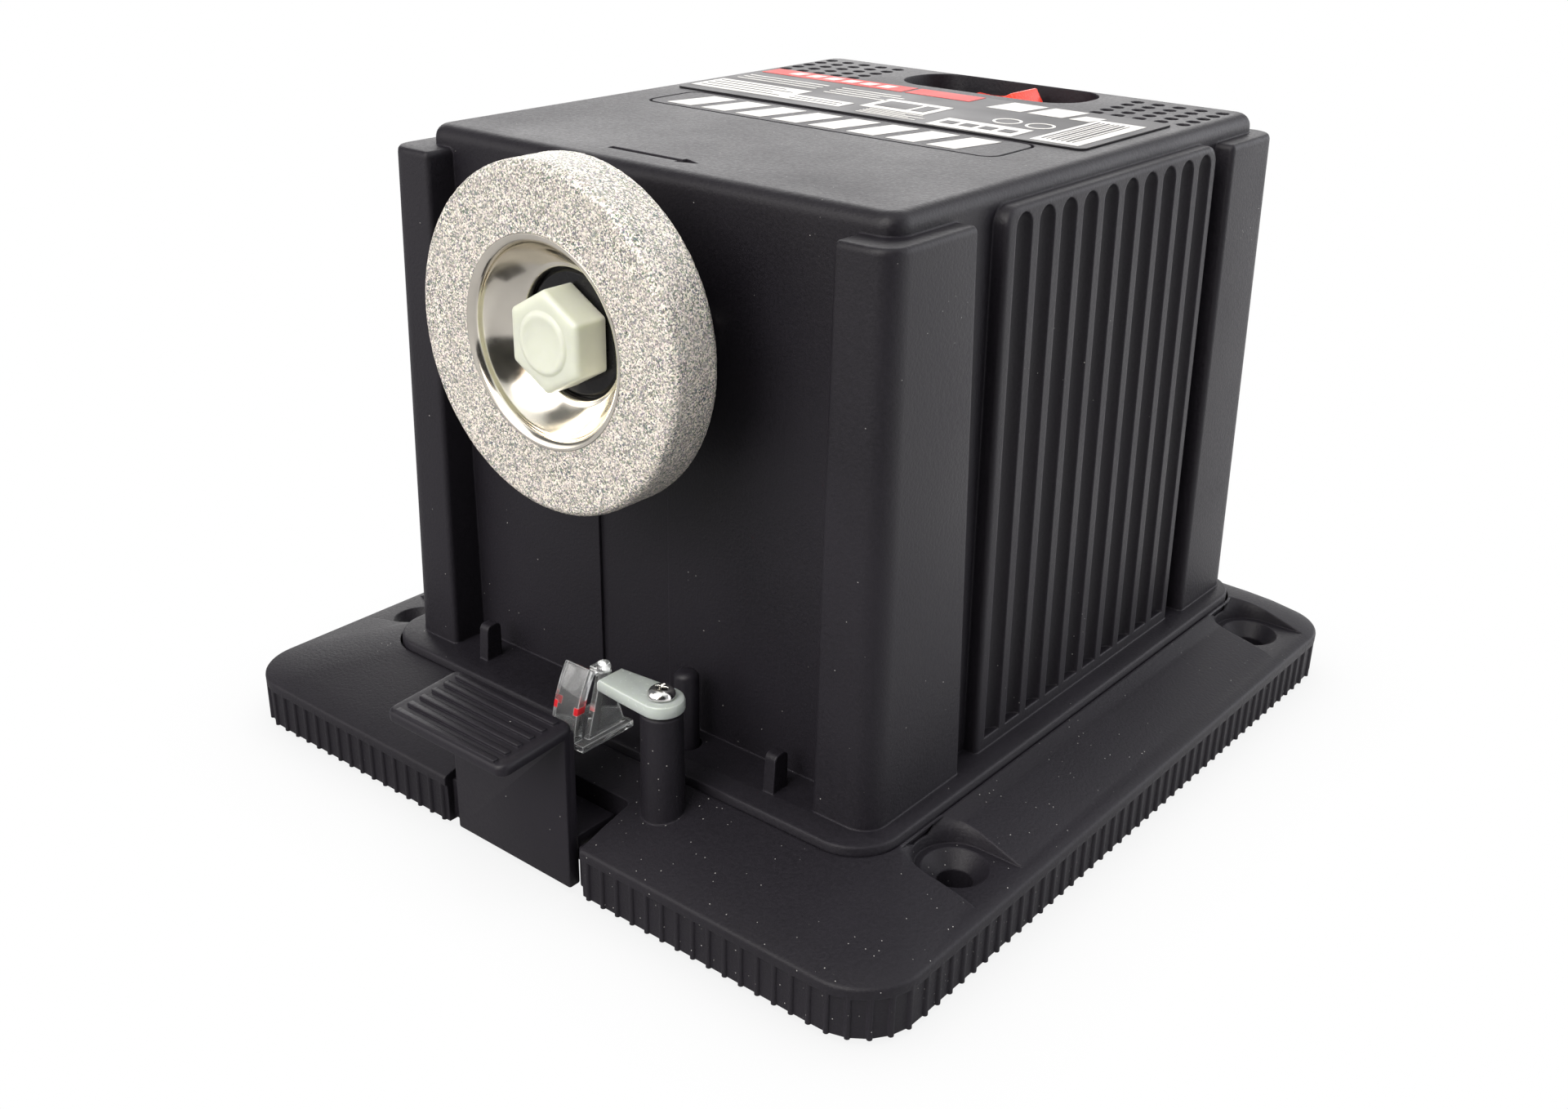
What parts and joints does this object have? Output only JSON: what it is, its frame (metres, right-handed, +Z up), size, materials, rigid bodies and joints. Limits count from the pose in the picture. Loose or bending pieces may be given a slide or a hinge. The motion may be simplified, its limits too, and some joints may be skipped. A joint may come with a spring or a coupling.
{
  "type": "bench sharpener",
  "caption": "Small mains bench sharpener: black ribbed base and grooved housing, bare diamond wheel held by a nylon nut, thumb lever, sighting gauge and red rocker switch.",
  "frame": {"origin": "centre of the base plate's outline, on the ground the rubber feet stand on", "axes": "+Z up, -Y towards the wheel and thumb lever, +X to the right when facing the wheel"},
  "size_m": [0.1523, 0.2063, 0.1069],
  "materials": {
    "black_plastic": "fine moulded texture",
    "steel": "zinc plated",
    "copper": "bare copper",
    "component": "moulded",
    "carbon": "pressed graphite",
    "spring_steel": "drawn wire",
    "grey_plastic": "moulded",
    "lead_insulation": "smooth",
    "bronze": "sintered",
    "milky_nylon": "translucent natural nylon",
    "bright_screw": "bright plated",
    "diamond_grit": "electroplated fine grit",
    "ferrite": "ground",
    "white_plastic": "moulded",
    "cord_sheath": "satin",
    "label_film": "printed film, blank",
    "board": "solder mask",
    "clear_acrylic": "clear",
    "capacitor": "potted",
    "red_rocker": "glossy",
    "rubber": "matte"
  },
  "bodies": {
    "frame": {"base_plate": "black_plastic", "bottom_cover": "black_plastic", "bridge_rectifier": "component", "brush_left": "carbon", "brush_right": "carbon", "brush_spring_left": "spring_steel", "brush_spring_right": "spring_steel", "cord_lead": "lead_insulation", "front_bearing": "bronze", "housing_screw_1": "steel", "housing_screw_2": "steel", "housing_screw_3": "steel", "housing_screw_4": "steel", "interlock_switch": "component", "lever_pin": "steel", "lever_spring": "spring_steel", "magnet_left": "ferrite", "magnet_right": "ferrite", "motor_can": "steel", "motor_end_bell": "white_plastic", "motor_lead": "lead_insulation", "motor_screw_left": "steel", "motor_screw_right": "steel", "plug_body": "cord_sheath", "plug_pin_1": "bright_screw", "plug_pin_2": "bright_screw", "plunger_spring": "spring_steel", "power_cord": "cord_sheath", "rating_label": "label_film", "rear_bearing": "bronze", "rectifier_board": "board", "rubber_foot_1": "rubber", "rubber_foot_2": "rubber", "rubber_foot_3": "rubber", "rubber_foot_4": "rubber", "strain_relief": "cord_sheath", "suppression_capacitor": "capacitor", "switch_body": "component", "switch_lead": "lead_insulation", "upper_housing": "black_plastic"},
    "rotor": {"motor_shaft": "steel", "armature_core": "steel", "armature_winding": "copper", "commutator": "copper", "cooling_fan": "grey_plastic", "wheel_hub": "component", "grinding_wheel": "diamond_grit", "wheel_nut": "milky_nylon"},
    "gauge": {"gauge_arm": "milky_nylon", "sight_piece": "clear_acrylic", "gauge_screw": "bright_screw"},
    "rocker": {"switch_rocker": "red_rocker"},
    "lever": {"thumb_lever": "black_plastic"},
    "plunger": {"interlock_plunger": "black_plastic"}
  },
  "joints": [
    {"name": "wheel_spin", "type": "hinge", "parent": "frame", "child": "rotor", "pos_m": [0, -0.0576, 0.0814], "axis": [0, 1, 0], "continuous": true},
    {"name": "power_rocker", "type": "hinge", "parent": "frame", "child": "rocker", "pos_m": [0, 0.0525, 0.098], "axis": [0, 1, 0], "range_deg": [0, 20]},
    {"name": "thumb_release", "type": "hinge", "parent": "frame", "child": "lever", "pos_m": [0, -0.0676, 0.0052], "axis": [1, 0, 0], "range_deg": [0, 8], "stiffness_Nm_per_rad": 0.05},
    {"name": "gauge_swing", "type": "hinge", "parent": "frame", "child": "gauge", "pos_m": [0.0205, -0.061, 0.029], "axis": [0, 0, -1], "range_deg": [0, 25]},
    {"name": "interlock_press", "type": "slide", "parent": "frame", "child": "plunger", "axis": [0, 0, -1], "range_m": [0, 0.004], "stiffness_N_per_m": 60, "springref_m": -0.001, "deforming": ["plunger_spring"]}
  ]
}
